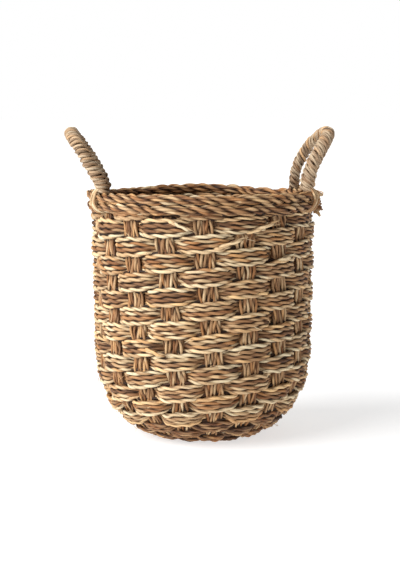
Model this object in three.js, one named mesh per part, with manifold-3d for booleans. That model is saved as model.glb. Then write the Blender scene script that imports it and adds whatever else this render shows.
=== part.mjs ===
// A round seagrass storage basket: upright stake bundles, weave rows that pass over one stake and under
// the next, a coiled base centre, a rolled rim border and two wrapped loop handles lashed to the rim.
// Millimetres, +Z up. The origin is the middle of the resting face, and the handles stand at +X and -X.
import * as THREE from "three";
import { mergeVertices } from "three/addons/utils/BufferGeometryUtils.js";
import Module from "manifold-3d";

const wasm = await Module();
wasm.setup();

const degree = Math.PI / 180;

// Body, measured on the middle surface of the weave, which the stakes follow
const bodyHeight = 400; // resting face to the top of the rim
const topRadius = 171;
const wallRadius = 167; // where the straight wall meets the rounded bottom
const bendHeight = 148; // top of the rounded bottom
const flatRadius = 74; // the bottom is flat inside this radius
const weaveHalfThickness = 9.5;

// Stakes and weave rows
const stakeCount = 18;
const stakeHalfAngle = 6 * degree;
const stakeThickness = 6;
const bandThickness = 5.6;
const bandSwing = 7.4; // how far a row stands out of the middle surface as it passes a stake
const baseBandSwing = 6.4;
const bandTurn = 6.6 * degree; // where a row starts to cross from one side of the weave to the other
const gap = 0.3; // between a row and the next, on each of them
const firstStake = -2.4 * degree; // measured from -Y towards +X

// Distances down the wall from the top of the rim
const stakeTop = 26.8;
const underRimTop = 29;
const wallRowsTop = 35.6;
const wallRowCount = 13;
const wallRowPitch = 25.1;
const wallRowSpread = 0.165; // makes the rows taller at the top of the wall and shorter at its foot
const baseRowCount = 6;
const baseCoilRadius = 40;

// The weave is hand made: its rows climb towards one side, and the stakes lean to match
const leanFacing = -25 * degree; // the side that the lean is measured from
const rowClimb = 19.2;
const firstRowClimb = 7; // the part of it that the first wall row already has
const climbStarts = 27;
const climbIn = wallRowsTop - climbStarts;
const climbLength = 45; // rows reach their full climb over about this distance below the rim
const climbEnds = 300; // below here the climb fades out towards the base
const stakeLean = 0.15; // sideways turn, in radians, of a stake by the time it has come down leanLength
const leanLength = 300;
const stakeCrowding = 0.018;
const stakeSpacing = 0.041; // how unevenly the stakes are spaced, in radians

// Rim border
const rimRadius = 13.2;
const rimCentreRadius = 174.5;
const rimCentreHeight = bodyHeight - rimRadius;
const rimSides = 10;
const rimSteps = 36;
const rimDip = 6; // the rim sits this much lower between the middle of the back and each handle
const dipStarts = 30; // the weave under the rim dips with it, down to here in full
const dipEnds = 150;

// Handles: a stiff core, bent to a loop and pushed down through the rim, inside a wrapped cord
const footHeight = bodyHeight + 9;
const tailEnd = bodyHeight - 2 * rimRadius; // where the core ends, under the rim
const handleSteps = 18;
const roundSides = 12;
const coreRadius = 6.5;
const tailRadius = 6; // thinner, so that it turns into the leaning core inside the wrap
const wrapInner = 6.9;
// half is half of each loop, foot to top: distance from the middle, rise above the foot, and outward reach.
// wrapRadius is the wrap's at its first foot, its top and its last foot.
const handles = [
  {
    name: "right",
    facing: 2.4 * degree,
    half: [[70, 0, 0], [71, 28, 6], [64, 57, 21], [39, 78, 37], [0, 84, 43]],
    wrapRadius: [11.5, 10.5, 8.8],
  },
  {
    name: "left",
    facing: Math.PI,
    half: [[66, 0, 0], [68, 28, 14], [62, 57, 32], [38, 78, 47], [0, 84, 51]],
    wrapRadius: [10.6, 9.8, 11.5],
  },
];

// Lashings, each a band bent round the rim under a handle's foot, open where the wall is
const lashingInner = 14.6;
const lashingOuter = 18.4;
const lashingHalfWidth = 9;
const lashingStart = -52 * degree;
const lashingEnd = 56 * degree;
const lashingSteps = 8;

const paleSeagrass = new THREE.MeshStandardMaterial({ color: 0xd9bf8c, roughness: 0.75, metalness: 0 });
const brownSeagrass = new THREE.MeshStandardMaterial({ color: 0x9c6f4a, roughness: 0.8, metalness: 0 });
const greySeagrass = new THREE.MeshStandardMaterial({ color: 0xb69a74, roughness: 0.8, metalness: 0 });

// Half section of the middle surface, from the top of the rim down the wall and in to the centre
const profile = new THREE.Path();
profile.moveTo(topRadius, bodyHeight);
profile.lineTo(wallRadius, bendHeight);
profile.absellipse(flatRadius, bendHeight, wallRadius - flatRadius, bendHeight - weaveHalfThickness,
  0, -Math.PI / 2, true);
profile.lineTo(0, weaveHalfThickness);
const profileLength = profile.getLength();

// How far the rows have climbed at a distance down the wall, and how far the stakes have turned
function climbAt(down) {
  const first = firstRowClimb * THREE.MathUtils.clamp((down - climbStarts) / climbIn, 0, 1);
  const rest = 1 - Math.exp(-Math.max(down - wallRowsTop, 0) / climbLength);
  const fade = 1 - THREE.MathUtils.smoothstep(down, climbEnds, profileLength - baseCoilRadius);
  return (first + (rowClimb - firstRowClimb) * rest) * fade;
}

function leanAt(down) {
  return stakeLean * Math.min(down / leanLength, 1);
}

// How far the rim has dipped at an angle round the basket: its front half doesn't
function dipAt(angle) {
  return Math.cos(angle) < 0 ? rimDip * Math.sin(2 * angle) ** 2 : 0;
}

// A point of the weave: down the wall from the rim, round the basket, and out from the middle surface
function onWeave(down, round, out) {
  const turned = round - leanFacing;
  const depth = THREE.MathUtils.clamp(down - climbAt(down) * Math.sin(turned), 0, profileLength - 1);
  const place = depth / profileLength;
  const at = profile.getPoint(place);
  const along = profile.getTangent(place);
  const uneven = stakeCrowding * Math.sin(turned) - stakeSpacing * Math.cos(2 * turned);
  const angle = round + uneven + leanAt(depth) * Math.cos(turned);
  const radius = at.x - along.y * out;
  const dip = dipAt(angle) * (1 - THREE.MathUtils.smoothstep(depth, dipStarts, dipEnds));
  return new THREE.Vector3(radius * Math.sin(angle), -radius * Math.cos(angle), at.y + along.x * out - dip);
}

// A solid skinned over a run of four-cornered sections, closed on itself or capped at its ends
function skin(sections, closed) {
  const corners = sections[0].length;
  const points = sections.flat();
  const faces = [];
  const runs = closed ? sections.length : sections.length - 1;
  for (let i = 0; i < runs; i++) {
    const here = i * corners;
    const next = ((i + 1) % sections.length) * corners;
    for (let j = 0; j < corners; j++) {
      const k = (j + 1) % corners;
      faces.push(here + j, next + j, next + k, here + j, next + k, here + k);
    }
  }
  if (!closed) {
    const last = (sections.length - 1) * corners;
    for (let j = 1; j < corners - 1; j++) {
      faces.push(0, j, j + 1, last, last + j + 1, last + j);
    }
  }
  const geometry = new THREE.BufferGeometry().setFromPoints(points);
  geometry.setIndex(faces);
  geometry.computeVertexNormals();
  return geometry;
}

const basket = new THREE.Group();

function add(name, geometry, material) {
  const mesh = new THREE.Mesh(geometry, material);
  mesh.name = name;
  basket.add(mesh);
  return mesh;
}

function stakeAngle(index) {
  return firstStake + (index * 2 * Math.PI) / stakeCount;
}

// One weave row: a band that stands outside the even stakes and inside the odd ones, or the reverse
function weaveRow(top, bottom, parity, swing) {
  const sections = [];
  for (let stake = 0; stake < stakeCount; stake++) {
    const middle = (stake + parity) % 2 === 0 ? swing : -swing;
    const inner = middle - bandThickness / 2;
    const outer = middle + bandThickness / 2;
    for (const turn of [-bandTurn, bandTurn]) {
      const round = stakeAngle(stake) + turn;
      sections.push([
        onWeave(top + gap, round, inner),
        onWeave(bottom - gap, round, inner),
        onWeave(bottom - gap, round, outer),
        onWeave(top + gap, round, outer),
      ]);
    }
  }
  return skin(sections, true);
}

// One stake bundle: a flat bar from the base coil up the wall to the rim, narrower towards the middle
function stakeBar(index, stations) {
  const round = stakeAngle(index);
  const half = stakeThickness / 2;
  const sections = stations.map((down) => [
    onWeave(down, round - stakeHalfAngle, -half),
    onWeave(down, round - stakeHalfAngle, half),
    onWeave(down, round + stakeHalfAngle, half),
    onWeave(down, round + stakeHalfAngle, -half),
  ]);
  return skin(sections, false);
}

// Where a wall row ends, as a distance down the wall
function wallRowEnd(row) {
  return wallRowsTop + row * wallRowPitch + wallRowSpread * row * (wallRowCount - row);
}

function addWeave() {
  const wallEnd = wallRowEnd(wallRowCount);
  const baseEnd = profileLength - baseCoilRadius - 1;
  const basePitch = (baseEnd - wallEnd) / baseRowCount;
  const edges = [underRimTop, wallRowsTop];
  for (let row = 1; row <= wallRowCount; row++) edges.push(wallRowEnd(row));
  for (let row = 1; row <= baseRowCount; row++) edges.push(wallEnd + row * basePitch);
  for (let row = 0; row < edges.length - 1; row++) {
    const swing = row > wallRowCount ? baseBandSwing : bandSwing;
    const geometry = weaveRow(edges[row], edges[row + 1], row % 2, swing);
    if (row === 0) add("under_rim_row", geometry, brownSeagrass);
    else if (row <= wallRowCount) add(`weave_row_${String(row).padStart(2, "0")}`, geometry, paleSeagrass);
    else add(`base_row_${row - wallRowCount}`, geometry, brownSeagrass);
  }
  const stations = [stakeTop, ...edges];
  for (let stake = 0; stake < stakeCount; stake++) {
    add(`stake_${String(stake + 1).padStart(2, "0")}`, stakeBar(stake, stations), brownSeagrass);
  }
}

// The flat coil of cord in the middle of the base, which stands on the resting face
function addBaseCoil() {
  const outline = [
    [0, 0],
    [baseCoilRadius - 3, 0],
    [baseCoilRadius, 3],
    [baseCoilRadius, 2 * weaveHalfThickness - 3],
    [baseCoilRadius - 3, 2 * weaveHalfThickness],
    [0, 2 * weaveHalfThickness],
  ].map(([x, y]) => new THREE.Vector2(x, y));
  const coil = add("base_coil", new THREE.LatheGeometry(outline, stakeCount), brownSeagrass);
  coil.rotation.x = Math.PI / 2; // the lathe turns about Y
}

// A closed geometry as a solid that can be joined or cut, and back
function toSolid(geometry) {
  const bare = geometry.clone();
  bare.deleteAttribute("normal");
  bare.deleteAttribute("uv");
  const merged = mergeVertices(bare);
  const vertProperties = new Float32Array(merged.attributes.position.array);
  const triVerts = new Uint32Array(merged.index.array);
  return new wasm.Manifold(new wasm.Mesh({ numProp: 3, vertProperties, triVerts }));
}

function toGeometry(solid) {
  const { vertProperties, triVerts } = solid.getMesh();
  const geometry = new THREE.BufferGeometry();
  geometry.setAttribute("position", new THREE.BufferAttribute(vertProperties, 3));
  geometry.setIndex(new THREE.BufferAttribute(triVerts, 1));
  geometry.computeVertexNormals();
  return geometry;
}

// An upright round bar between two heights
function uprightBar(radius, x, y, low, high) {
  const bar = new THREE.CylinderGeometry(radius, radius, high - low, roundSides);
  bar.rotateX(Math.PI / 2);
  bar.translate(x, y, (low + high) / 2);
  return bar;
}

// The angle between the middle of a handle and each of its feet on the rim
function footAngle(half) {
  return Math.asin(half[0][0] / rimCentreRadius);
}

// The rolled border, with a hole down through it for each foot of the handles
function addRim() {
  const ring = new THREE.TorusGeometry(rimCentreRadius, rimRadius, rimSides, rimSteps);
  const place = ring.attributes.position;
  for (let i = 0; i < place.count; i++) {
    const dip = dipAt(Math.atan2(place.getX(i), -place.getY(i)));
    place.setZ(i, place.getZ(i) + rimCentreHeight - dip);
  }
  let border = toSolid(ring);
  for (const { facing, half } of handles) {
    for (const side of [-1, 1]) {
      const angle = facing + side * footAngle(half);
      const x = rimCentreRadius * Math.cos(angle);
      const y = rimCentreRadius * Math.sin(angle);
      border = border.subtract(toSolid(uprightBar(wrapInner, x, y, tailEnd - rimDip, footHeight)));
    }
  }
  add("rim_border", toGeometry(border), brownSeagrass);
}

// The loop's centre line, foot to foot, from one half of it
function handleCurve(half) {
  const reach = rimCentreRadius * Math.cos(footAngle(half));
  const point = (side) => ([across, rise, out]) =>
    new THREE.Vector3(reach + out, side * across, footHeight + rise);
  const up = half.map(point(-1));
  const down = half.slice(0, -1).reverse().map(point(1));
  return new THREE.CatmullRomCurve3([...up, ...down]);
}

// A round bar along a curve, with its radius at the start, middle and end, run on past both ends
function bentBar(curve, [first, middle, last], runOn) {
  const frames = curve.computeFrenetFrames(handleSteps);
  const sections = [];
  for (let step = 0; step <= handleSteps; step++) {
    const along = step / handleSteps;
    const radius = middle + Math.abs(2 * along - 1) * ((along < 0.5 ? first : last) - middle);
    const centre = curve.getPointAt(along);
    if (step === 0) centre.addScaledVector(frames.tangents[step], -runOn);
    if (step === handleSteps) centre.addScaledVector(frames.tangents[step], runOn);
    const ring = [];
    for (let side = 0; side < roundSides; side++) {
      const around = (2 * Math.PI * side) / roundSides;
      const point = centre.clone();
      point.addScaledVector(frames.normals[step], radius * Math.cos(around));
      point.addScaledVector(frames.binormals[step], radius * Math.sin(around));
      ring.push(point);
    }
    sections.push(ring.reverse());
  }
  return toSolid(skin(sections, false));
}

// A band bent round the rim's section at one foot of a handle
function lashing(round) {
  const dip = dipAt(round + Math.PI / 2);
  const sections = [];
  for (let step = 0; step <= lashingSteps; step++) {
    const around = lashingStart + ((lashingEnd - lashingStart) * step) / lashingSteps;
    const corner = (radius, side) => {
      const out = rimCentreRadius + radius * Math.cos(around);
      const x = out * Math.cos(round) - side * lashingHalfWidth * Math.sin(round);
      const y = out * Math.sin(round) + side * lashingHalfWidth * Math.cos(round);
      return new THREE.Vector3(x, y, rimCentreHeight - dip + radius * Math.sin(around));
    };
    sections.push([
      corner(lashingInner, -1),
      corner(lashingInner, 1),
      corner(lashingOuter, 1),
      corner(lashingOuter, -1),
    ]);
  }
  return skin(sections, false);
}

// The bent core, with a straight tail down through the rim at each foot
function handleCore(curve, half) {
  let core = bentBar(curve, [coreRadius, coreRadius, coreRadius], 0);
  const reach = rimCentreRadius * Math.cos(footAngle(half));
  for (const side of [-1, 1]) {
    const tail = uprightBar(tailRadius, reach, side * half[0][0], tailEnd, footHeight);
    core = core.add(toSolid(tail));
  }
  return toGeometry(core);
}

function addHandles() {
  for (const { name, facing, half, wrapRadius } of handles) {
    const curve = handleCurve(half);
    const core = add(`${name}_handle_core`, handleCore(curve, half), brownSeagrass);
    const bore = bentBar(curve, [wrapInner, wrapInner, wrapInner], 1);
    const sleeve = bentBar(curve, wrapRadius, 0).subtract(bore);
    const wrap = add(`${name}_handle_wrap`, toGeometry(sleeve), greySeagrass);
    core.rotation.z = facing;
    wrap.rotation.z = facing;
    add(`${name}_handle_lashing_1`, lashing(facing - footAngle(half)), greySeagrass);
    add(`${name}_handle_lashing_2`, lashing(facing + footAngle(half)), greySeagrass);
  }
}

addWeave();
addBaseCoil();
addRim();
addHandles();

export default basket;
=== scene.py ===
import math
import bmesh
import bpy
import numpy as np
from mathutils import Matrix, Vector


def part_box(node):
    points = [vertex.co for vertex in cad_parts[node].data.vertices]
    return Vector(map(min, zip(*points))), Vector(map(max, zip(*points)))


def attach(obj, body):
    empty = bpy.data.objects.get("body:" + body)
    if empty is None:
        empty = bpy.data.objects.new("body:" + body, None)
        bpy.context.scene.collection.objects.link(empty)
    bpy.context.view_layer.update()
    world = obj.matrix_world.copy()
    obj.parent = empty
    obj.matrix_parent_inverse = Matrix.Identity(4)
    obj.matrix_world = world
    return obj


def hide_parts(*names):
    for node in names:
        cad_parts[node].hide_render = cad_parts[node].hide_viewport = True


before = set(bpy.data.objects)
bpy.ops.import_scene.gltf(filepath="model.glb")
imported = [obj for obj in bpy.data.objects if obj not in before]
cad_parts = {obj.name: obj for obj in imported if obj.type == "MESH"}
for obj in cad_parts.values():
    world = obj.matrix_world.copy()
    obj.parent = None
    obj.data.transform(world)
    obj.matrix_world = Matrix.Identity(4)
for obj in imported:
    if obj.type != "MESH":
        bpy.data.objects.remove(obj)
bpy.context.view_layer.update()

# A seagrass basket: every rope is a few strands laid round each other, and the rows go round upright bundles.
# Lengths are in metres. "down" is a distance from the rim along the wall, "turn" an angle round the basket
# from its front towards its right, and "out" a distance out of the middle of the wall.
# A pair such as "waver" says how far something wanders, and in how many waves.

basket = {
    "height": 0.4, "topRadius": 0.171, "wallRadius": 0.167, "flatRadius": 0.074, "halfThickness": 0.0095,
    "bendHeight": 0.148, "bendSteps": 80,  # where the wall starts to turn in, and the steps round that bend
    "stakes": 18, "firstStake": math.radians(-2.4), "stakeTop": 0.0268,
    "rows": 13, "rowsTop": 0.0356, "rowPitch": 0.0251, "rowSpread": 0.000165, "underRimTop": 0.0215,
    "baseRows": 6, "coilRadius": 0.04, "coilGap": 0.001,
    "rimMargin": 0.0005, "middleMargin": 0.001,  # how near a row may come to either end of the wall
    "leanFacing": math.radians(-25),  # where stakes lean most, and rows climb from its left to its right
    "lean": 0.15, "leanLength": 0.3, "crowding": 0.018, "spacing": 0.041,
    "rowClimb": 0.0192, "firstRowClimb": 0.007, "climbStarts": 0.027, "climbLength": 0.045, "climbEnds": 0.3,
    "dip": 0.006, "dipStarts": 0.03, "dipEnds": 0.15,  # the rim's dip, which fades out down the wall
}

view = {
    "distance": 2.3, "azimuth": -2.5, "aboveRim": 0.1326, "tiltDown": 7.14, "turn": 0.12, "lens": 89.2,
    "sensor": 36, "farthest": 100,
}


def addCamera():
    azimuth = math.radians(view["azimuth"])
    data = bpy.data.cameras.new("camera")
    data.lens = view["lens"]
    data.sensor_width = view["sensor"]
    data.clip_end = view["farthest"]
    camera = bpy.data.objects.new("camera", data)
    bpy.context.scene.collection.objects.link(camera)
    height = basket["height"] + view["aboveRim"]
    camera.location = (math.sin(azimuth) * view["distance"], -math.cos(azimuth) * view["distance"], height)
    camera.rotation_euler = (math.radians(90 - view["tiltDown"]), 0, azimuth + math.radians(view["turn"]))
    bpy.context.scene.camera = camera


addCamera()
print("camera placed")


class Value:
    # wraps a socket so that shader maths reads as an expression
    def __init__(self, tree, socket):
        self.tree = tree
        self.socket = socket

    def combine(self, operation, first, second):
        node = self.tree.nodes.new("ShaderNodeMath")
        node.operation = operation
        plug(self.tree, node.inputs[0], first)
        plug(self.tree, node.inputs[1], second)
        return Value(self.tree, node.outputs[0])

    def __add__(self, other):
        return self.combine("ADD", self, other)

    def __radd__(self, other):
        return self.combine("ADD", other, self)

    def __sub__(self, other):
        return self.combine("SUBTRACT", self, other)

    def __rsub__(self, other):
        return self.combine("SUBTRACT", other, self)

    def __mul__(self, other):
        return self.combine("MULTIPLY", self, other)

    def __rmul__(self, other):
        return self.combine("MULTIPLY", other, self)


def plug(tree, socket, item):
    if isinstance(item, Value):
        tree.links.new(item.socket, socket)
    else:
        socket.default_value = item


class Finish:
    # a material, whose other nodes all come from one method
    def __init__(self, name):
        self.material = bpy.data.materials.new(name)
        self.material.use_nodes = True
        self.tree = self.material.node_tree
        self.shader = self.tree.nodes["Principled BSDF"]

    def node(self, kind, settings=None, values=None, output=0):
        node = self.tree.nodes.new(kind)
        for key, setting in (settings or {}).items():
            if key == "stops":
                fillRamp(node.color_ramp, setting)
            else:
                setattr(node, key, setting)
        for key, value in (values or {}).items():
            plug(self.tree, node.inputs[key], value)
        return Value(self.tree, node.outputs[output])

    def set(self, name, value):
        plug(self.tree, self.shader.inputs[name], value)


def fillRamp(ramp, stops):
    while len(ramp.elements) < len(stops):
        ramp.elements.new(0.5)
    for element, (position, color) in zip(ramp.elements, stops):
        element.position = position
        element.color = (*color, 1)


# The middle surface of the weave

def wallProfile():
    # the wall's radius and height at distances down it, from the rim to the middle of the base
    quarter = np.linspace(0, math.pi / 2, basket["bendSteps"])
    flat, bend, half = basket["flatRadius"], basket["bendHeight"], basket["halfThickness"]
    turnedIn = flat + (basket["wallRadius"] - flat) * np.cos(quarter)
    radius = np.concatenate(([basket["topRadius"]], turnedIn, [0]))
    height = np.concatenate(([basket["height"]], bend - (bend - half) * np.sin(quarter), [half]))
    down = np.concatenate(([0], np.cumsum(np.hypot(np.diff(radius), np.diff(height)))))
    return down, radius, height


profileDown, profileRadius, profileHeight = wallProfile()
wallLength = profileDown[-1]
coilEdge = wallLength - basket["coilRadius"] - basket["coilGap"]


def smooth(x, low, high):
    t = np.clip((x - low) / (high - low), 0, 1)
    return t * t * (3 - 2 * t)


def dipAt(angle):
    # the rim sits lower between the middle of the back and each handle
    return np.where(np.cos(angle) < 0, basket["dip"] * np.sin(2 * angle) ** 2, 0)


def depthOf(down, turned):
    # how far down the wall a row lies at a side of the basket, since rows climb to one side
    first = np.clip((down - basket["climbStarts"]) / (basket["rowsTop"] - basket["climbStarts"]), 0, 1)
    rest = 1 - np.exp(-np.maximum(down - basket["rowsTop"], 0) / basket["climbLength"])
    climb = basket["firstRowClimb"] * first + (basket["rowClimb"] - basket["firstRowClimb"]) * rest
    climb = climb * (1 - smooth(down, basket["climbEnds"], wallLength - basket["coilRadius"]))
    return np.clip(down - climb * np.sin(turned), basket["rimMargin"], wallLength - basket["middleMargin"])


def changeAt(depth, values, step=0.0005):
    # how fast the wall's radius or height changes at a depth
    return np.interp(depth + step, profileDown, values) - np.interp(depth - step, profileDown, values)


def onWeave(down, turn, out):
    # places on the weave, with the way outwards and the way down at each
    turned = turn - basket["leanFacing"]
    depth = depthOf(down, turned) + 0 * turned
    radius = np.interp(depth, profileDown, profileRadius)
    height = np.interp(depth, profileDown, profileHeight)
    slope, fall = changeAt(depth, profileRadius), changeAt(depth, profileHeight)
    length = np.hypot(slope, fall)
    slope, fall = slope / length, fall / length
    angle = turn + basket["crowding"] * np.sin(turned) - basket["spacing"] * np.cos(2 * turned)
    angle = angle + basket["lean"] * np.minimum(depth / basket["leanLength"], 1) * np.cos(turned)
    height = height - dipAt(angle) * (1 - smooth(depth, basket["dipStarts"], basket["dipEnds"]))
    sine, cosine = np.sin(angle), np.cos(angle)
    outward = np.stack([-fall * sine, fall * cosine, slope], 1)
    downward = np.stack([slope * sine, -slope * cosine, fall], 1)
    place = np.stack([radius * sine, -radius * cosine, height], 1)
    return place + outward * np.broadcast_to(out, sine.shape)[:, None], outward, downward


# Ropes, as paths for their strands

uneven = {  # how much each thing wanders along a rope or strand, and the length of a wave
    "twist": 0.35, "twistLength": 0.06, "lay": 0.12, "layLength": 0.03,
    "thickness": 0.12, "thicknessLength": 0.022, "thinnest": 0.75, "thickest": 1.35,
    "shade": 0.05, "shadeLength": 0.04, "fewestWaves": 3, "splices": (0.5, 1.5),
    "tip": 0.08, "tipLength": 0.0005,  # how thin a tapered end may be, and its blunt last part
    # where the painted shade in a crease gives way to a rope's crown
    "roundCrease": (0.5, 0.95), "flatCrease": (0.0, 0.7),  # where a crease ends and a crown starts
}


def wander(random, count, size, waves):
    # a smooth random wave that joins itself end to end
    t = np.linspace(0, 2 * math.pi, count, endpoint=False)
    wave = np.zeros(count)
    for k in range(1, waves + 1):
        wave += random.normal() * np.sin(k * t + random.uniform(0, 2 * math.pi))
    return wave * size / math.sqrt(waves)


def waver(random, count, total, name, size=None):
    # a wave for one of the uneven things, with as many waves as fit the length
    waves = max(int(total / uneven[name + "Length"]), uneven["fewestWaves"])
    return wander(random, count, uneven[name] if size is None else size, waves)


def spliced(random, along, middle, spread, run):
    # one shade after another, as each blade of grass runs out and the next is laid in
    count = int(along[-1] / run) + 2
    ends = np.cumsum(random.uniform(*uneven["splices"], count)) * run - random.uniform(0, run)
    return (middle + random.normal(0, spread, count + 1))[np.searchsorted(ends, along)]


def pathLength(path, closed):
    along = np.concatenate(([0], np.cumsum(np.linalg.norm(np.diff(path, axis=0), axis=1))))
    return along, along[-1] + (np.linalg.norm(path[0] - path[-1]) if closed else 0)


def layRound(path, first, second, rope, random, closed):
    # the paths of a rope's strands, laid round the rope's own path
    along, total = pathLength(path, closed)
    twists = total / rope["pitch"] * rope.get("hand", 1)
    if closed:
        twists = round(twists)
    count = len(path)
    angle = random.uniform(0, 2 * math.pi) + 2 * math.pi * twists * along / total
    angle = angle + waver(random, count, total, "twist", rope.get("slack"))
    for k in range(rope["strands"]):
        turn = angle + 2 * math.pi * k / rope["strands"]
        offset = rope["offset"] * (1 + waver(random, count, total, "lay"))
        yield path + first * (offset * np.cos(turn))[:, None] + second * (offset * np.sin(turn))[:, None]


def strandOf(path, thick, random, tone, closed, heart=None, outward=None, reach=None, spread=0.1, run=0.2):
    # one strand: its path and thickness, its shades, and what it is laid round
    along, total = pathLength(path, closed)
    count = len(path)
    swell = np.clip(1 + waver(random, count, total, "thickness"), uneven["thinnest"], uneven["thickest"])
    shade = spliced(random, along, tone, spread, run) + waver(random, count, total, "shade")
    return {
        "points": path, "thick": thick * swell, "along": along, "closed": closed, "tone": shade,
        "warm": random.uniform(0, 1), "heart": heart, "outward": outward, "reach": reach,
    }


def layUp(path, first, second, rope, random, closed, tones, spread=0.1, run=0.2):
    # all the strands of a rope, with its tones taken in turn
    strands = []
    reach = rope["offset"] + rope["radius"]
    for k, points in enumerate(layRound(path, first, second, rope, random, closed)):
        tone = tones[k % len(tones)]
        strand = strandOf(points, rope["radius"], random, tone, closed, path, first, reach, spread, run)
        strands.append(strand)
    return strands


def taper(strand, start, end):
    # draws a strand's ends down to a point over these distances
    along = strand["along"]
    blunt = -uneven["tipLength"]
    narrow = smooth(along, blunt, start) * smooth(along[-1] - along, blunt, end)
    strand["thick"] = strand["thick"] * np.maximum(narrow, uneven["tip"])


def strandMesh(name, strands, sides=6, apart=7):
    # bevelled curves made into one mesh, whose points keep their places along, round and inside their ropes;
    # each strand's grain starts somewhere else, up to this length apart
    curve = bpy.data.curves.new(name, "CURVE")
    curve.dimensions = "3D"
    curve.bevel_depth = 1
    curve.bevel_resolution = (sides - 4) // 2
    curve.use_fill_caps = True
    for strand in strands:
        count = len(strand["points"])
        spline = curve.splines.new("POLY")
        spline.points.add(count - 1)
        spline.points.foreach_set("co", np.column_stack([strand["points"], np.ones(count)]).ravel())
        spline.points.foreach_set("radius", strand["thick"])
        spline.use_cyclic_u = strand["closed"]
        spline.use_smooth = True
    piece = bpy.data.objects.new(name, curve)
    bpy.context.scene.collection.objects.link(piece)
    mesh = bpy.data.meshes.new_from_object(piece.evaluated_get(bpy.context.evaluated_depsgraph_get()))
    bpy.data.objects.remove(piece)
    bpy.data.curves.remove(curve)
    mesh.name = name
    place = np.zeros(len(mesh.vertices) * 3)
    mesh.vertices.foreach_get("co", place)
    place = place.reshape(-1, 3)
    # the caps of the open strands come first, last strand first, and then the strands in order
    runs = [(strand, np.array([-1, 0])) for strand in reversed(strands) if not strand["closed"]]
    runs += [(strand, np.arange(len(strand["points"]))) for strand in strands]
    fibre, tone, warm, crease = [], [], [], []
    around = 2 * math.pi * np.arange(sides) / sides
    start = 0
    for strand, order in runs:
        count = len(order) * sides
        thick = np.repeat(strand["thick"][order], sides)
        angles = np.tile(around, len(order))
        along = np.repeat(strand["along"][order], sides) + strand["warm"] * apart
        fibre.append(np.column_stack([along, thick * np.cos(angles), thick * np.sin(angles)]))
        tone.append(np.repeat(strand["tone"][order], sides))
        warm.append(np.full(count, strand["warm"]))
        # each point's painted shade, from how deep it lies in the crease between ropes
        crease.append(paintedShadeOf(strand, order, place[start:start + count], sides))
        start += count
    grain = mesh.attributes.new("fibre", "FLOAT_VECTOR", "POINT")
    grain.data.foreach_set("vector", np.concatenate(fibre).ravel())
    for key, values in (("tone", tone), ("warm", warm), ("crease", crease)):
        mesh.attributes.new(key, "FLOAT", "POINT").data.foreach_set("value", np.concatenate(values))
    if any(not strand["closed"] for strand in strands):
        joinCaps(mesh)
    piece = bpy.data.objects.new(name, mesh)
    bpy.context.scene.collection.objects.link(piece)
    return piece


def paintedShadeOf(strand, order, place, sides):
    # 0 on the crown of a rope, 1 in the crease between it and the next; the finish darkens each point by
    # this, as painted shade
    if strand["reach"] is None:
        return np.full(len(place), strand.get("crease", 0.0))
    away = place - np.repeat(strand["heart"][order], sides, axis=0)
    if strand["outward"] is None:
        height = np.linalg.norm(away, axis=1)
        return 1 - smooth(height / strand["reach"], *uneven["roundCrease"])
    height = np.abs((away * np.repeat(strand["outward"][order], sides, axis=0)).sum(1))
    return 1 - smooth(height / strand["reach"], *uneven["flatCrease"])


def joinCaps(mesh):
    # a curve's end caps are loose from its sides until their edges are merged
    work = bmesh.new()
    work.from_mesh(mesh)
    edge = [vertex for vertex in work.verts if vertex.is_boundary]
    bmesh.ops.remove_doubles(work, verts=edge, dist=1e-6)
    work.to_mesh(mesh)
    work.free()


# Finishes

seagrass = {
    "shades": [  # from the darkest strand to the palest
        (0.0, (0.075, 0.032, 0.013)), (0.25, (0.245, 0.118, 0.052)), (0.5, (0.43, 0.245, 0.12)),
        (0.72, (0.62, 0.43, 0.245)), (1.0, (0.86, 0.71, 0.48)),
    ],
    "greys": [(0.0, (0.085, 0.05, 0.03)), (0.4, (0.32, 0.21, 0.13)), (1.0, (0.68, 0.53, 0.37))],
    "warmth": [(0.0, (0.95, 0.97, 0.95)), (0.55, (1.0, 0.97, 0.92)), (1.0, (1.0, 0.8, 0.58))],
    # painted shade in the creases between ropes: its dark colour, how far the colour goes towards it, and how
    # much the tone drops
    "crease": (0.1, 0.06, 0.04), "creaseDepth": 0.93, "creaseShade": 0.12,
    "patch": (45, 300, 300), "patchDetail": 2.0, "patchShade": 0.4, "patchWarmth": 0.4,
    "streak": (90, 2400, 2400), "streakDetail": 3.0, "streakRough": 0.6, "streakShade": 0.5,
    "roughness": 0.62, "streakRoughness": 0.3, "gloss": 0.35, "bump": 0.5, "bumpHeight": 0.0006,
}


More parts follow.
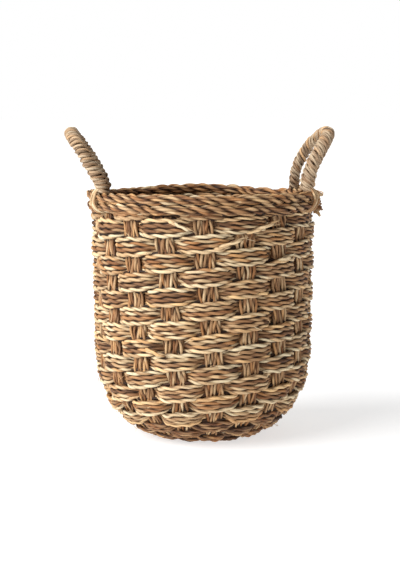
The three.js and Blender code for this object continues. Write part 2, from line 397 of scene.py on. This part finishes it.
def seagrassFinish(name, shades):
    finish = Finish(name)
    tone = finish.node("ShaderNodeAttribute", {"attribute_name": "tone"}, output=2)
    warm = finish.node("ShaderNodeAttribute", {"attribute_name": "warm"}, output=2)
    crease = finish.node("ShaderNodeAttribute", {"attribute_name": "crease"}, output=2)
    fibre = finish.node("ShaderNodeAttribute", {"attribute_name": "fibre"}, output=1)
    patchPlace = finish.node("ShaderNodeMapping", values={"Vector": fibre, "Scale": seagrass["patch"]})
    patch = finish.node("ShaderNodeTexNoise",
                        values={"Vector": patchPlace, "Scale": 1.0, "Detail": seagrass["patchDetail"]})
    streakPlace = finish.node("ShaderNodeMapping", values={"Vector": fibre, "Scale": seagrass["streak"]})
    streak = finish.node("ShaderNodeTexNoise",
                         values={"Vector": streakPlace, "Scale": 1.0, "Detail": seagrass["streakDetail"],
                                 "Roughness": seagrass["streakRough"]})
    grain = (patch - 0.5) * seagrass["patchShade"] + (streak - 0.5) * seagrass["streakShade"]
    # painted shade: the tone drops in the creases between ropes, and below, the colour is pulled towards a
    # dark colour there
    shade = tone + grain - crease * seagrass["creaseShade"]
    base = finish.node("ShaderNodeValToRGB", {"stops": shades}, {"Fac": shade})
    tint = finish.node("ShaderNodeValToRGB", {"stops": seagrass["warmth"]},
                       {"Fac": warm + (patch - 0.5) * seagrass["patchWarmth"]})
    color = finish.node("ShaderNodeMix", {"data_type": "RGBA", "blend_type": "MULTIPLY"},
                        {0: 1.0, 6: base, 7: tint}, output=2)
    # the dark colour of the painted shade in the creases
    dark = (*seagrass["crease"], 1)
    color = finish.node("ShaderNodeMix", {"data_type": "RGBA", "blend_type": "MULTIPLY"},
                        {0: crease * seagrass["creaseDepth"], 6: color, 7: dark}, output=2)
    finish.set("Base Color", color)
    finish.set("Roughness", seagrass["roughness"] + (streak - 0.5) * seagrass["streakRoughness"])
    finish.set("Normal", finish.node("ShaderNodeBump",
                                     values={"Strength": seagrass["bump"], "Height": streak,
                                             "Distance": seagrass["bumpHeight"]}))
    finish.set("Specular IOR Level", seagrass["gloss"])
    return finish.material


seagrassMaterial = seagrassFinish("seagrass", seagrass["shades"])
greySeagrassMaterial = seagrassFinish("greySeagrass", seagrass["greys"])


def finishPiece(piece, material, slotName, *nodes):
    # gives a piece its material and body, and puts it in place of its stand-ins
    piece.data.materials.clear()
    piece.data.materials.append(material)
    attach(piece, "root")
    if nodes:
        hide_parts(*nodes)


# Weave rows

rows = {
    "rope": {"strands": 2, "offset": 0.00145, "radius": 0.00245, "pitch": 0.043},
    "ropes": 4, "edge": (0.92, 0.82), "inner": (0.57, 0.4), "lifts": (-0.12, 0, 0.12),
    "spread": 0.14, "run": 0.14, "pitches": (0.9, 1.1), "seed": 100,
    "swing": 0.0082, "outside": 0.28, "steepness": 1.9,  # out and in past the stakes, and longer outside
    "bulge": 0.2, "drift": (0.0006, 12), "waver": (0.0005, 40), "step": 0.003,
    "squeeze": (0.35, 1.2),  # the least and most that crowded rows change a rope's thickness
    # packing: strands in the creases between ropes, which close the wall; their very dark tone and painted
    # crease shade stand in for the shade there
    "packing": 0.0017, "edgePacking": 0.0026, "packingSwing": 0.85, "packingShadeTone": 0.08,
    "packingPaintedShade": 0.8, "packingSkip": 2,
}
baseRow = {
    "rope": {"strands": 2, "offset": 0.0014, "radius": 0.00235, "pitch": 0.036},
    "ropes": 3, "swing": 0.0047, "tones": (0.38, 0.26), "lift": (-0.08, 0.12), "seed": 200,
}
underRim = {
    "rope": {"strands": 2, "offset": 0.0015, "radius": 0.0026, "pitch": 0.045},
    "ropes": 3, "swing": 0.0075, "tones": (0.52, 0.38), "lift": (-0.08, 0.12), "seed": 11,
}


def rowEnd(row):
    # how far down the wall a number of rows reaches, with the middle rows a little lower
    uneven = basket["rowSpread"] * row * (basket["rows"] - row)
    return basket["rowsTop"] + row * basket["rowPitch"] + uneven


def ringRow(top, bottom, parity, style, tonesFor, random):
    # the ropes of one row, out over one stake and in behind the next
    middle, pitch = (top + bottom) / 2, bottom - top
    radius = np.interp(middle, profileDown, profileRadius)
    count = int(2 * math.pi * radius / rows["step"])
    turn = np.linspace(0, 2 * math.pi, count, endpoint=False)
    turned = turn - basket["leanFacing"]
    squeeze = np.clip((depthOf(bottom, turned) - depthOf(top, turned)) / pitch, *rows["squeeze"])
    over = np.cos(basket["stakes"] / 2 * (turn - basket["firstStake"])) * (1 if parity == 0 else -1)
    steep = rows["steepness"]
    swing = style["swing"] * np.tanh(steep * (over + rows["outside"])) / math.tanh(steep)
    drift = wander(random, count, *rows["drift"])
    rope = dict(style["rope"])
    rope["pitch"] *= random.uniform(*rows["pitches"])
    strands = []
    for k in range(style["ropes"]):
        place = ((k + 0.5) / style["ropes"] - 0.5) * pitch * (1 + rows["bulge"] * over)
        down = middle + drift + place + wander(random, count, *rows["waver"])
        path, outward, downward = onWeave(down, turn, swing + wander(random, count, *rows["waver"]))
        tones = tonesFor(k, random)
        laid = layUp(path, outward, downward, rope, random, True, tones, rows["spread"], rows["run"])
        for strand in laid:
            strand["thick"] = strand["thick"] * squeeze
        strands += laid
    every = slice(None, None, rows["packingSkip"])
    # the packing closes the wall, and is painted dark as the shade in its crease
    for k in range(style["ropes"]):  # packing in the crease above each rope, which keeps the wall closed
        place = (k / style["ropes"] - 0.5) * pitch * (1 + rows["bulge"] * over)
        thick = rows["packing"] if k else rows["edgePacking"]
        out = swing * (rows["packingSwing"] if k else 0)
        path = onWeave(middle + drift + place, turn, out)[0]
        packing = strandOf(path[every], thick, random, rows["packingShadeTone"], True)
        packing["thick"] = packing["thick"] * squeeze[every]
        packing["crease"] = rows["packingPaintedShade"]
        strands.append(packing)
    return strands


def addRows():
    def wallTones(k, random):
        if k in (0, rows["ropes"] - 1):
            return rows["edge"]
        lift = random.choice(rows["lifts"])
        return [tone + lift for tone in rows["inner"]]

    def brownTones(style):
        return lambda k, random: [tone + random.uniform(*style["lift"]) for tone in style["tones"]]

    random = np.random.default_rng(underRim["seed"])
    strands = ringRow(basket["underRimTop"], basket["rowsTop"], 0, underRim, brownTones(underRim), random)
    finishPiece(strandMesh("ropes_under_rim", strands), seagrassMaterial, "weave_brown", "under_rim_row")
    for row in range(basket["rows"]):
        random = np.random.default_rng(rows["seed"] + row)
        strands = ringRow(rowEnd(row), rowEnd(row + 1), (row + 1) % 2, rows, wallTones, random)
        piece = strandMesh(f"ropes_row_{row + 1:02d}", strands)
        finishPiece(piece, seagrassMaterial, "weave_cream_and_brown", f"weave_row_{row + 1:02d}")
    wallEnd = rowEnd(basket["rows"])
    basePitch = (coilEdge - wallEnd) / basket["baseRows"]
    for row in range(basket["baseRows"]):
        random = np.random.default_rng(baseRow["seed"] + row)
        top = wallEnd + row * basePitch
        parity = (basket["rows"] + 1 + row) % 2
        strands = ringRow(top, top + basePitch, parity, baseRow, brownTones(baseRow), random)
        finishPiece(strandMesh(f"ropes_base_{row + 1}", strands), seagrassMaterial, "weave_brown",
                    f"base_row_{row + 1}")
    print("weave rows laid")


addRows()

# Stakes

stakes = {
    "rope": {"strands": 2, "offset": 0.0018, "radius": 0.0024, "pitch": 0.062},
    "ropes": 5, "halfAngle": math.radians(3.9), "step": 0.004, "pitches": (0.85, 1.2), "seed": 300,
    "tones": (0.68, 0.58, 0.48, 0.38), "spread": 0.12, "run": 0.07, "coolest": 0.3,
    "sideways": (0.005, 18), "waver": (0.0005, 20), "baseThickness": 0.3, "thinnest": 0.4,
    # packing: strands in the holes beside each stake; their dark tone and painted crease shade stand in for
    # the shade there
    "packing": 0.003, "packingShadeTone": 0.3, "packingPaintedShade": 0.4,
    "packingAt": ((-7.9, -0.0024), (-5.8, -0.0047), (5.8, -0.0047), (7.9, -0.0024)),  # degrees aside, and out
}


def stakeStrands(middle, down, random):
    # a bundle of ropes side by side, and the packing beside it where the rows part to go round it, painted
    # dark as the shade in those holes
    count = len(down)
    strands = []
    for k in range(stakes["ropes"]):
        side = (k / (stakes["ropes"] - 1) - 0.5) * 2 * stakes["halfAngle"]
        turn = middle + side + wander(random, count, *stakes["sideways"])
        path, outward, downward = onWeave(down, turn, wander(random, count, *stakes["waver"]))
        rope = dict(stakes["rope"], hand=random.choice([-1, 1]))
        rope["pitch"] *= random.uniform(*stakes["pitches"])
        tones = random.choice(stakes["tones"], rope["strands"])
        strands += layUp(path, outward, np.cross(outward, downward), rope, random, False, tones,
                         stakes["spread"], stakes["run"])
    for side, out in stakes["packingAt"]:
        path = onWeave(down, middle + math.radians(side) + 0 * down, out)[0]
        packing = strandOf(path, stakes["packing"], random, stakes["packingShadeTone"], False)
        strands.append(dict(packing, crease=stakes["packingPaintedShade"]))
    return strands


def addStakes():
    count = int((coilEdge - basket["stakeTop"]) / stakes["step"])
    down = np.linspace(basket["stakeTop"], coilEdge, count)
    narrow = np.interp(down, profileDown, profileRadius) / basket["topRadius"]
    thickness = stakes["baseThickness"] + (1 - stakes["baseThickness"]) * narrow
    for stake in range(basket["stakes"]):
        random = np.random.default_rng(stakes["seed"] + stake)
        middle = basket["firstStake"] + stake * 2 * math.pi / basket["stakes"]
        strands = stakeStrands(middle, down, random)
        for strand in strands:  # the bundle draws in towards the middle of the base
            strand["thick"] = strand["thick"] * np.clip(thickness, stakes["thinnest"], 1)
            strand["warm"] = stakes["coolest"] + (1 - stakes["coolest"]) * strand["warm"]
        piece = strandMesh(f"strands_stake_{stake + 1:02d}", strands)
        finishPiece(piece, seagrassMaterial, "stakes", f"stake_{stake + 1:02d}")
    print("stakes laid")


addStakes()

# Base coil

coil = {
    "rope": {"strands": 2, "offset": 0.0013, "radius": 0.002, "pitch": 0.03},
    "spacing": 0.006, "starts": 0.6, "step": 0.0025, "inset": 0.0037, "tones": (0.42, 0.32), "seed": 41,
}


def addBaseCoil():
    # three flat spirals of rope, one on another
    random = np.random.default_rng(coil["seed"])
    low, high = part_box("base_coil")
    turns = (high.x - coil["spacing"] / 2) / coil["spacing"]
    count = int(turns * math.pi * high.x / coil["step"])
    strands = []
    for height in (low.z + coil["inset"], (low.z + high.z) / 2, high.z - coil["inset"]):
        angle = np.linspace(coil["starts"], turns, count) * 2 * math.pi
        radius = coil["spacing"] * angle / (2 * math.pi)
        outward = np.column_stack([np.cos(angle), np.sin(angle), 0 * angle])
        upward = np.tile([0.0, 0.0, 1.0], (count, 1))
        path = outward * radius[:, None] + upward * height
        strands += layUp(path, upward, outward, coil["rope"], random, False, coil["tones"])
    finishPiece(strandMesh("coil_base", strands), seagrassMaterial, "weave_brown", "base_coil")
    print("base coil laid")


addBaseCoil()

# Rim border: two courses outside and two inside, each a rope of three plies

rim = {
    "tube": 0.0132, "step": 0.0035, "spreadOut": 0.0064, "spreadUp": 0.0074,
    "rope": {"strands": 3, "offset": 0.0042, "radius": 0.004, "pitch": 0.074, "slack": 0.5},
    "ply": {"strands": 3, "offset": 0.0019, "radius": 0.0023, "pitch": 0.08, "hand": -1},
    "tones": (0.4, 0.53, 0.62, 0.7, 0.78), "spread": 0.12, "run": 0.1, "coolest": 0.45,
    "waver": (0.001, 20), "clearance": 0.0004, "seed": 53,
    # dark cores in the middle of the rim, seen in the gaps between its courses; their dark tone and painted
    # crease shade stand in for the shade there
    "cores": ((0, 0.0068), (0.0128, 0.005)),  # how far below the rim's middle each lies, and its radius
    "coreShadeTone": 0.08, "corePaintedShade": 0.8,
}
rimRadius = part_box("rim_border")[1].x - rim["tube"]
rimHeight = basket["height"] - rim["tube"]


def addRim():
    random = np.random.default_rng(rim["seed"])
    count = int(2 * math.pi * rimRadius / rim["step"])
    turn = np.linspace(0, 2 * math.pi, count, endpoint=False)
    outward = np.column_stack([np.sin(turn), -np.cos(turn), 0 * turn])
    downward = np.tile([0.0, 0.0, -1.0], (count, 1))
    strands = []
    reach = rim["rope"]["offset"] + rim["rope"]["radius"] + rim["clearance"]
    for outSide, upSide in ((1, 1), (1, -1), (-1, 1), (-1, -1)):
        radius = rimRadius + outSide * rim["spreadOut"] + wander(random, count, *rim["waver"])
        height = rimHeight + upSide * rim["spreadUp"] + wander(random, count, *rim["waver"]) - dipAt(turn)
        path = outward * radius[:, None] - downward * height[:, None]
        for plyPath in layRound(path, outward, downward, rim["rope"], random, True):
            tones = random.choice(rim["tones"], rim["ply"]["strands"])
            ply = layUp(plyPath, outward, downward, rim["ply"], random, True, tones,
                        rim["spread"], rim["run"])
            for strand in ply:
                strand.update(heart=path, outward=None, reach=reach)
                strand["warm"] = rim["coolest"] + (1 - rim["coolest"]) * strand["warm"]
            strands += ply
    # the cores, painted dark as the shade between the rim's courses
    for drop, thick in rim["cores"]:
        path = outward * rimRadius - downward * (rimHeight - drop - dipAt(turn))[:, None]
        core = strandOf(path, thick, random, rim["coreShadeTone"], True)
        strands.append(dict(core, crease=rim["corePaintedShade"]))
    finishPiece(strandMesh("ropes_rim", strands), seagrassMaterial, "rim", "rim_border")
    print("rim laid")


addRim()

# Handles: a core of straight strands, bent to a loop and wrapped

handle = {
    "footRise": 0.009, "pathStep": 0.002, "curveSteps": 24,
    "wrapPitch": 0.0078, "wrapDepth": 0.012, "coreDepth": 0.032,  # how far each runs on below the feet
    "rope": {"strands": 3, "offset": 0.0021, "radius": 0.00215, "pitch": 0.05, "slack": 0.8},
    "spread": 0.14, "run": 0.05, "angleWaver": (0.12, 20), "radiusWaver": (0.06, 60),
    "bite": 0.0004, "step": 0.0022, "stepRadius": 0.007,
    "core": {"strands": 5, "offset": 0.0028, "radius": 0.0027, "pitch": 0.2}, "coreTones": (0.25, 0.35),
}
loops = {  # "radii" are those of the wrapped loop, at its first foot, its top and its last foot
    "right": {
        "facing": math.radians(2.4), "radii": (0.0123, 0.0109, 0.0091), "starts": 3,
        "tones": (0.74, 0.62, 0.5), "seed": 61,
        "half": [(0.07, 0, 0), (0.071, 0.028, 0.006), (0.064, 0.057, 0.021), (0.039, 0.078, 0.037),
                 (0, 0.084, 0.043)],  # from a foot to the top: aside, up and outwards
    },
    "left": {
        "facing": math.pi, "radii": (0.0108, 0.0104, 0.0119), "starts": 2,
        "tones": (0.86, 0.74, 0.62), "seed": 63,
        "half": [(0.066, 0, 0), (0.068, 0.028, 0.014), (0.062, 0.057, 0.032), (0.038, 0.078, 0.047),
                 (0, 0.084, 0.051)],
    },
}


def throughPoints(points, spacing):
    # a smooth curve through the points, evenly stepped
    points = [np.array(point, float) for point in points]
    padded = [2 * points[0] - points[1], *points, 2 * points[-1] - points[-2]]
    t = np.linspace(0, 1, handle["curveSteps"], endpoint=False)[:, None]
    runs = []
    for a, b, c, d in zip(padded, padded[1:], padded[2:], padded[3:]):
        bend = (2 * a - 5 * b + 4 * c - d) * t ** 2 + (3 * b - a - 3 * c + d) * t ** 3
        runs.append(0.5 * (2 * b + (c - a) * t + bend))
    dense = np.concatenate([*runs, points[-1][None]])
    along, total = pathLength(dense, False)
    even = np.linspace(0, total, max(int(total / spacing), 4))
    return np.column_stack([np.interp(even, along, dense[:, k]) for k in range(3)])


def carried(path, start):
    # two directions across a path, carried along it without turning round it
    ways = np.gradient(path, axis=0)
    ways /= np.linalg.norm(ways, axis=1)[:, None]
    first = np.zeros_like(path)
    last = np.array(start, float)
    for k, way in enumerate(ways):
        last = last - way * last.dot(way)
        last /= np.linalg.norm(last)
        first[k] = last
    return ways, first, np.cross(ways, first)


def loopPath(loop, below):
    # the loop's centre line, foot to foot, run on down into the rim at both feet
    across = loop["half"][0][0]
    reach = math.sqrt(rimRadius ** 2 - across ** 2)
    foot = basket["height"] + handle["footRise"]
    up = [np.array([reach + out, -side, foot + rise]) for side, rise, out in loop["half"]]
    down = [point * np.array([1, -1, 1]) for point in up[-2::-1]]
    points = [up[0] - np.array([0, 0, below]), *up, *down, down[-1] - np.array([0, 0, below])]
    sine, cosine = math.sin(loop["facing"]), math.cos(loop["facing"])
    facing = np.array([[cosine, sine, 0], [-sine, cosine, 0], [0, 0, 1]])
    return throughPoints(np.array(points) @ facing, handle["pathStep"])


def loopGuides(loop, below):
    # the centre line, its own direction and two directions across it
    path = loopPath(loop, below)
    return path, *carried(path, (math.cos(loop["facing"]), math.sin(loop["facing"]), 0))


def wrapStrands(loop, random):
    # ropes wound side by side round the core, like the starts of one screw
    guides = loopGuides(loop, handle["wrapDepth"])
    even, total = pathLength(guides[0], False)
    turns = total / handle["wrapPitch"] / loop["starts"]
    count = int(turns * 2 * math.pi * handle["stepRadius"] / handle["step"])
    at = np.linspace(0, total, count)
    centre, way, one, two = (
        np.column_stack([np.interp(at, even, values[:, k]) for k in range(3)]) for values in guides)
    start, top, end = loop["radii"]
    fromTop = np.abs(2 * at / total - 1)
    outer = top + fromTop * (np.where(at < total / 2, start, end) - top)
    rope = handle["rope"]
    inner = outer - rope["offset"] - rope["radius"] + handle["bite"]
    strands = []
    for k in range(loop["starts"]):
        angle = 2 * math.pi * (k / loop["starts"] - turns * at / total)
        angle = angle + wander(random, count, *handle["angleWaver"])
        spoke = one * np.cos(angle)[:, None] + two * np.sin(angle)[:, None]
        path = centre + spoke * (inner * (1 + wander(random, count, *handle["radiusWaver"])))[:, None]
        strands += layUp(path, spoke, way, rope, random, False, loop["tones"],
                         handle["spread"], handle["run"])
    for strand in strands:
        strand.update(heart=centre, outward=None, reach=float(np.mean(outer)))
    return strands


def addHandles():
    for name, loop in loops.items():
        random = np.random.default_rng(loop["seed"])
        wrap = strandMesh(f"wrap_{name}_handle", wrapStrands(loop, random))
        finishPiece(wrap, greySeagrassMaterial, "handle_wrap", f"{name}_handle_wrap")
        path, _, first, second = loopGuides(loop, handle["coreDepth"])
        strands = layUp(path, first, second, handle["core"], random, False, handle["coreTones"])
        core = strandMesh(f"core_{name}_handle", strands)
        finishPiece(core, seagrassMaterial, "handle_core", f"{name}_handle_core")
    print("handles wrapped")


addHandles()

# Lashings: strands that come out of each handle's foot and go round the outside of the rim

lashing = {
    "radius": 0.0019, "spacing": 0.0047, "steps": 26, "tone": 0.64, "lift": (-0.12, 0.15), "spread": 0.15,
    "run": 0.02, "from": 72, "to": -112,  # degrees round the rim, where 0 is outwards and 90 is up
    "hugs": ((0, 0.0192), (0.25, 0.0158), (0.75, 0.0158), (1, 0.0125)),  # part of the way, and distance out
    "loose": 0.0022, "gather": 0.65, "widen": 0.6, "stray": 0.006, "slant": {"right": 0.16, "left": 0.06},
    "strands": {"right": (4, 5), "left": (4, 3)}, "seeds": {"right": 70, "left": 75},
}


def lashingStrands(name, side, number, turn, random):
    # strands side by side, from the foot over the outside of the rim to the wall under it
    s = np.linspace(0, 1, lashing["steps"])
    around = np.radians(lashing["from"] + (lashing["to"] - lashing["from"]) * s)
    strands = []
    for k in range(number):
        hug = np.interp(s, *zip(*lashing["hugs"])) + random.uniform(0, lashing["loose"])
        place = (k - (number - 1) / 2) * lashing["spacing"]
        place = place * (lashing["gather"] + lashing["widen"] * np.sin(math.pi * s))
        stray = random.uniform(-lashing["stray"], lashing["stray"])
        at = turn + place / rimRadius + side * lashing["slant"][name] * s * s + stray * s
        out = rimRadius + hug * np.cos(around)
        up = rimHeight - dipAt(turn) + hug * np.sin(around)
        path = np.column_stack([out * np.sin(at), -out * np.cos(at), up])
        tone = lashing["tone"] + random.uniform(*lashing["lift"])
        strands.append(strandOf(path, lashing["radius"], random, tone, False,
                                spread=lashing["spread"], run=lashing["run"]))
    return strands


def addLashings():
    for name, loop in loops.items():
        foot = math.asin(loop["half"][0][0] / rimRadius)
        for index, side in enumerate((-1, 1)):
            random = np.random.default_rng(lashing["seeds"][name] + index)
            turn = loop["facing"] + side * foot + math.pi / 2
            strands = lashingStrands(name, side, lashing["strands"][name][index], turn, random)
            piece = strandMesh(f"strands_{name}_lashing_{index + 1}", strands)
            finishPiece(piece, seagrassMaterial, "lashings", f"{name}_handle_lashing_{index + 1}")
    print("feet lashed")


addLashings()

# Loose ends: cut ends at the right of the rim, pale rope ends in the weave, and stray fibres

cutEnds = {
    "count": 60, "turn": (80, 104), "radius": (0.0011, 0.0021), "tones": (0.3, 0.5, 0.7), "steps": 7,
    "drop": (-0.022, 0.012), "out": (0.004, 0.009), "reach": (0.006, 0.0125), "sway": (-0.05, 0.05),
    "rise": 0.004, "droop": (0, 2), "droopDepth": 0.007, "seed": 81,
}
bentEnd = {  # one end that is bent back on itself
    "turn": 92, "width": 0.03, "out": 0.012, "bow": 0.011, "up": 0.004, "rise": 0.008, "radius": 0.0008,
    "tone": 0.75, "steps": 12,
}


def addCutEnds():
    random = np.random.default_rng(cutEnds["seed"])
    strands = []
    s = np.linspace(0, 1, cutEnds["steps"])
    for k in range(cutEnds["count"]):
        turn = math.radians(random.uniform(*cutEnds["turn"]))
        drop = random.uniform(*cutEnds["drop"])
        out = rimRadius + random.uniform(*cutEnds["out"])
        reach = random.uniform(*cutEnds["reach"])
        at = turn + random.uniform(*cutEnds["sway"]) * s
        far = out + reach * s
        droop = cutEnds["droopDepth"] * s * s * random.uniform(*cutEnds["droop"])
        up = rimHeight + drop + cutEnds["rise"] * s - droop
        path = np.column_stack([far * np.sin(at), -far * np.cos(at), up])
        thick = random.uniform(*cutEnds["radius"])
        strands.append(strandOf(path, thick, random, random.choice(cutEnds["tones"]), False))
    s = np.linspace(0, 1, bentEnd["steps"])
    far = rimRadius + bentEnd["out"] + bentEnd["bow"] * np.sin(math.pi * s)
    at = math.radians(bentEnd["turn"]) - bentEnd["width"] * np.cos(math.pi * s)
    up = rimHeight + bentEnd["up"] + bentEnd["rise"] * s
    path = np.column_stack([far * np.sin(at), -far * np.cos(at), up])
    strands.append(strandOf(path, bentEnd["radius"], random, bentEnd["tone"], False))
    finishPiece(strandMesh("loose_cut_ends", strands), seagrassMaterial, "rim")


ropeEnds = {
    "ends": [  # down, turn in degrees, length and slope
        (0.066, 17, 0.058, 0.38), (0.088, 1, 0.052, 0.36), (0.036, -19, 0.045, -0.5), (0.118, 33, 0.04, 0.3),
        (0.232, -38, 0.045, -0.3),
    ],
    "pitch": 0.05, "tones": (0.98, 0.9), "spread": 0.04, "run": 0.2, "taper": (0.006, 0.022),
    "out": 0.0075, "rise": 0.0055, "riseBy": 1.3, "step": 0.0025, "seed": 83,
}


def addRopeEnds():
    random = np.random.default_rng(ropeEnds["seed"])
    rope = dict(rows["rope"], pitch=ropeEnds["pitch"])
    strands = []
    for down, turn, length, slope in ropeEnds["ends"]:
        s = np.linspace(0, 1, int(length / ropeEnds["step"]))
        turns = math.radians(turn) + length * math.cos(slope) * s / basket["wallRadius"]
        risen = np.sin(math.pi / 2 * np.minimum(s * ropeEnds["riseBy"], 1))
        out = ropeEnds["out"] + ropeEnds["rise"] * risen
        path, outward, downward = onWeave(down - length * math.sin(slope) * s, turns, out)
        strands += layUp(path, outward, downward, rope, random, False, ropeEnds["tones"],
                         ropeEnds["spread"], ropeEnds["run"])
    for strand in strands:
        taper(strand, *ropeEnds["taper"])
    finishPiece(strandMesh("loose_rope_ends", strands), seagrassMaterial, "weave_cream_and_brown")


fibres = {
    "count": 90, "radius": (0.00022, 0.00042), "tones": (0.5, 1), "taper": (0.001, 0.006), "steps": 9,
    "down": (0.03, 0.4), "slope": (-0.012, 0.012), "sweep": (-0.12, 0.12),
    "out": 0.008, "bow": (0.002, 0.008), "bowEnd": (0.5, 0.95), "seed": 85,
}


def addFibres():
    random = np.random.default_rng(fibres["seed"])
    s = np.linspace(0, 1, fibres["steps"])
    strands = []
    for k in range(fibres["count"]):
        down = random.uniform(*fibres["down"]) + random.uniform(*fibres["slope"]) * s
        turn = random.uniform(0, 2 * math.pi) + random.uniform(*fibres["sweep"]) * s
        bow = random.uniform(*fibres["bow"])
        out = fibres["out"] + bow * np.sin(math.pi * s * random.uniform(*fibres["bowEnd"]))
        path = onWeave(down, turn, out)[0]
        thick = random.uniform(*fibres["radius"])
        strand = strandOf(path, thick, random, random.uniform(*fibres["tones"]), False)
        taper(strand, *fibres["taper"])
        strands.append(strand)
    finishPiece(strandMesh("loose_fibres", strands), seagrassMaterial, "weave_cream_and_brown")


addCutEnds()
addRopeEnds()
addFibres()
print("loose ends added")

# Floor and light

studio = {
    "floorRadius": 60, "floorSegments": 96, "floorColor": (0.6, 0.6, 0.6), "floorRoughness": 0.9,
    "floorGlow": 0.64, "sunStrength": 4.1, "sunAngle": 55, "sunHeight": 32, "sunTurn": -64,
    "sky": 0.28, "backdrop": 1.0,
}


def addFloor():
    work = bmesh.new()
    bmesh.ops.create_circle(work, cap_ends=True, segments=studio["floorSegments"],
                            radius=studio["floorRadius"])
    mesh = bpy.data.meshes.new("floor")
    work.to_mesh(mesh)
    work.free()
    floor = bpy.data.objects.new("floor", mesh)
    bpy.context.scene.collection.objects.link(floor)
    finish = Finish("floorPaper")
    finish.set("Base Color", (*studio["floorColor"], 1))
    finish.set("Roughness", studio["floorRoughness"])
    finish.set("Emission Color", (1, 1, 1, 1))
    finish.set("Emission Strength", studio["floorGlow"])
    floor.data.materials.append(finish.material)


def addSun():
    sun = bpy.data.lights.new("sun", "SUN")
    sun.energy = studio["sunStrength"]
    sun.angle = math.radians(studio["sunAngle"])
    lamp = bpy.data.objects.new("sun", sun)
    lamp.rotation_euler = (math.radians(90 - studio["sunHeight"]), 0, math.radians(studio["sunTurn"]))
    bpy.context.scene.collection.objects.link(lamp)


def addSky():
    # a soft light from all round, behind which the camera sees plain white
    world = bpy.data.worlds.new("studio")
    world.use_nodes = True
    tree = world.node_tree
    sky = tree.nodes["Background"]
    white = tree.nodes.new("ShaderNodeBackground")
    for background, strength in ((sky, studio["sky"]), (white, studio["backdrop"])):
        background.inputs["Color"].default_value = (1, 1, 1, 1)
        background.inputs["Strength"].default_value = strength
    rays = tree.nodes.new("ShaderNodeLightPath")
    mix = tree.nodes.new("ShaderNodeMixShader")
    tree.links.new(rays.outputs["Is Camera Ray"], mix.inputs[0])
    tree.links.new(sky.outputs[0], mix.inputs[1])
    tree.links.new(white.outputs[0], mix.inputs[2])
    tree.links.new(mix.outputs[0], tree.nodes["World Output"].inputs["Surface"])
    bpy.context.scene.world = world


addFloor()
addSun()
addSky()
bpy.context.scene.view_settings.view_transform = "Standard"
print("studio lit")
